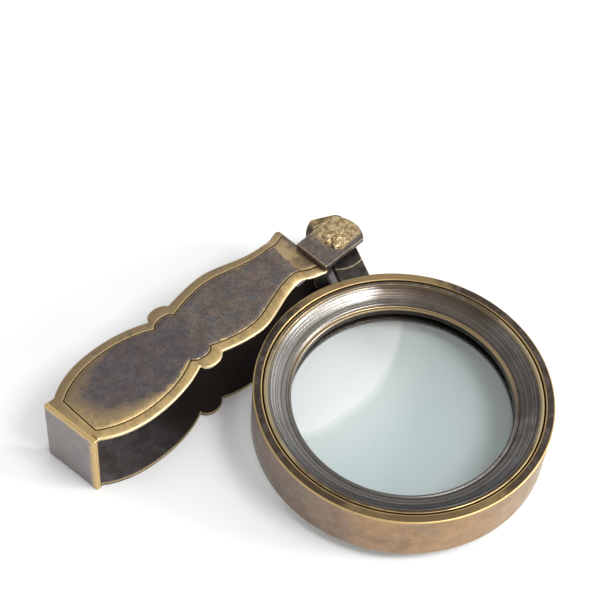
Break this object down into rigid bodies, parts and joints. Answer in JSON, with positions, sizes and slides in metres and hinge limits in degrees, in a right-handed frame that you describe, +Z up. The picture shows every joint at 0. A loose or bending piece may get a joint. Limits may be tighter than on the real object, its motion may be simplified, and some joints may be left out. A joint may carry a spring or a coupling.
{
  "type": "folding hand magnifier",
  "caption": "Aged brass folding magnifying glass: a turned lens ring on a short arm swings on a riveted pin and folds between the two shaped plates of its handle.",
  "frame": {"origin": "under the middle of the whole magnifier as it lies open, on the surface that it lies on", "axes": "+Z up; +X along the handle from its end wall to the hinge; the lens ring opens towards -Y"},
  "size_m": [0.1122, 0.1046, 0.0236],
  "materials": {
    "patina_brass": "dark brown-grey patina rubbed through to brass on the edges",
    "worn_brass": "aged brass, satin, worn brighter on the edges",
    "turned_brass": "lathe-turned, with fine concentric tool marks, greyed by age",
    "pin_brass": "rough hammered rivet head",
    "lens_glass": "polished clear glass"
  },
  "bodies": {
    "handle": {"handle_plate_upper": "patina_brass", "handle_plate_lower": "patina_brass", "handle_end_wall": "patina_brass", "hinge_ear_upper": "patina_brass", "hinge_ear_lower": "patina_brass", "hinge_washer_upper": "worn_brass", "hinge_washer_lower": "worn_brass", "hinge_rivet": "pin_brass"},
    "lens_unit": {"lens_arm": "patina_brass", "lens_frame": "worn_brass", "retaining_ring_upper": "worn_brass", "retaining_ring_lower": "worn_brass", "bezel_upper": "turned_brass", "bezel_lower": "turned_brass", "lens": "lens_glass"}
  },
  "joints": [
    {"name": "lens_hinge", "type": "hinge", "parent": "handle", "child": "lens_unit", "pos_m": [0.03923, 0.03455, 0.01125], "axis": [0, 0, 1], "range_deg": [-63.7, 116.3]}
  ]
}
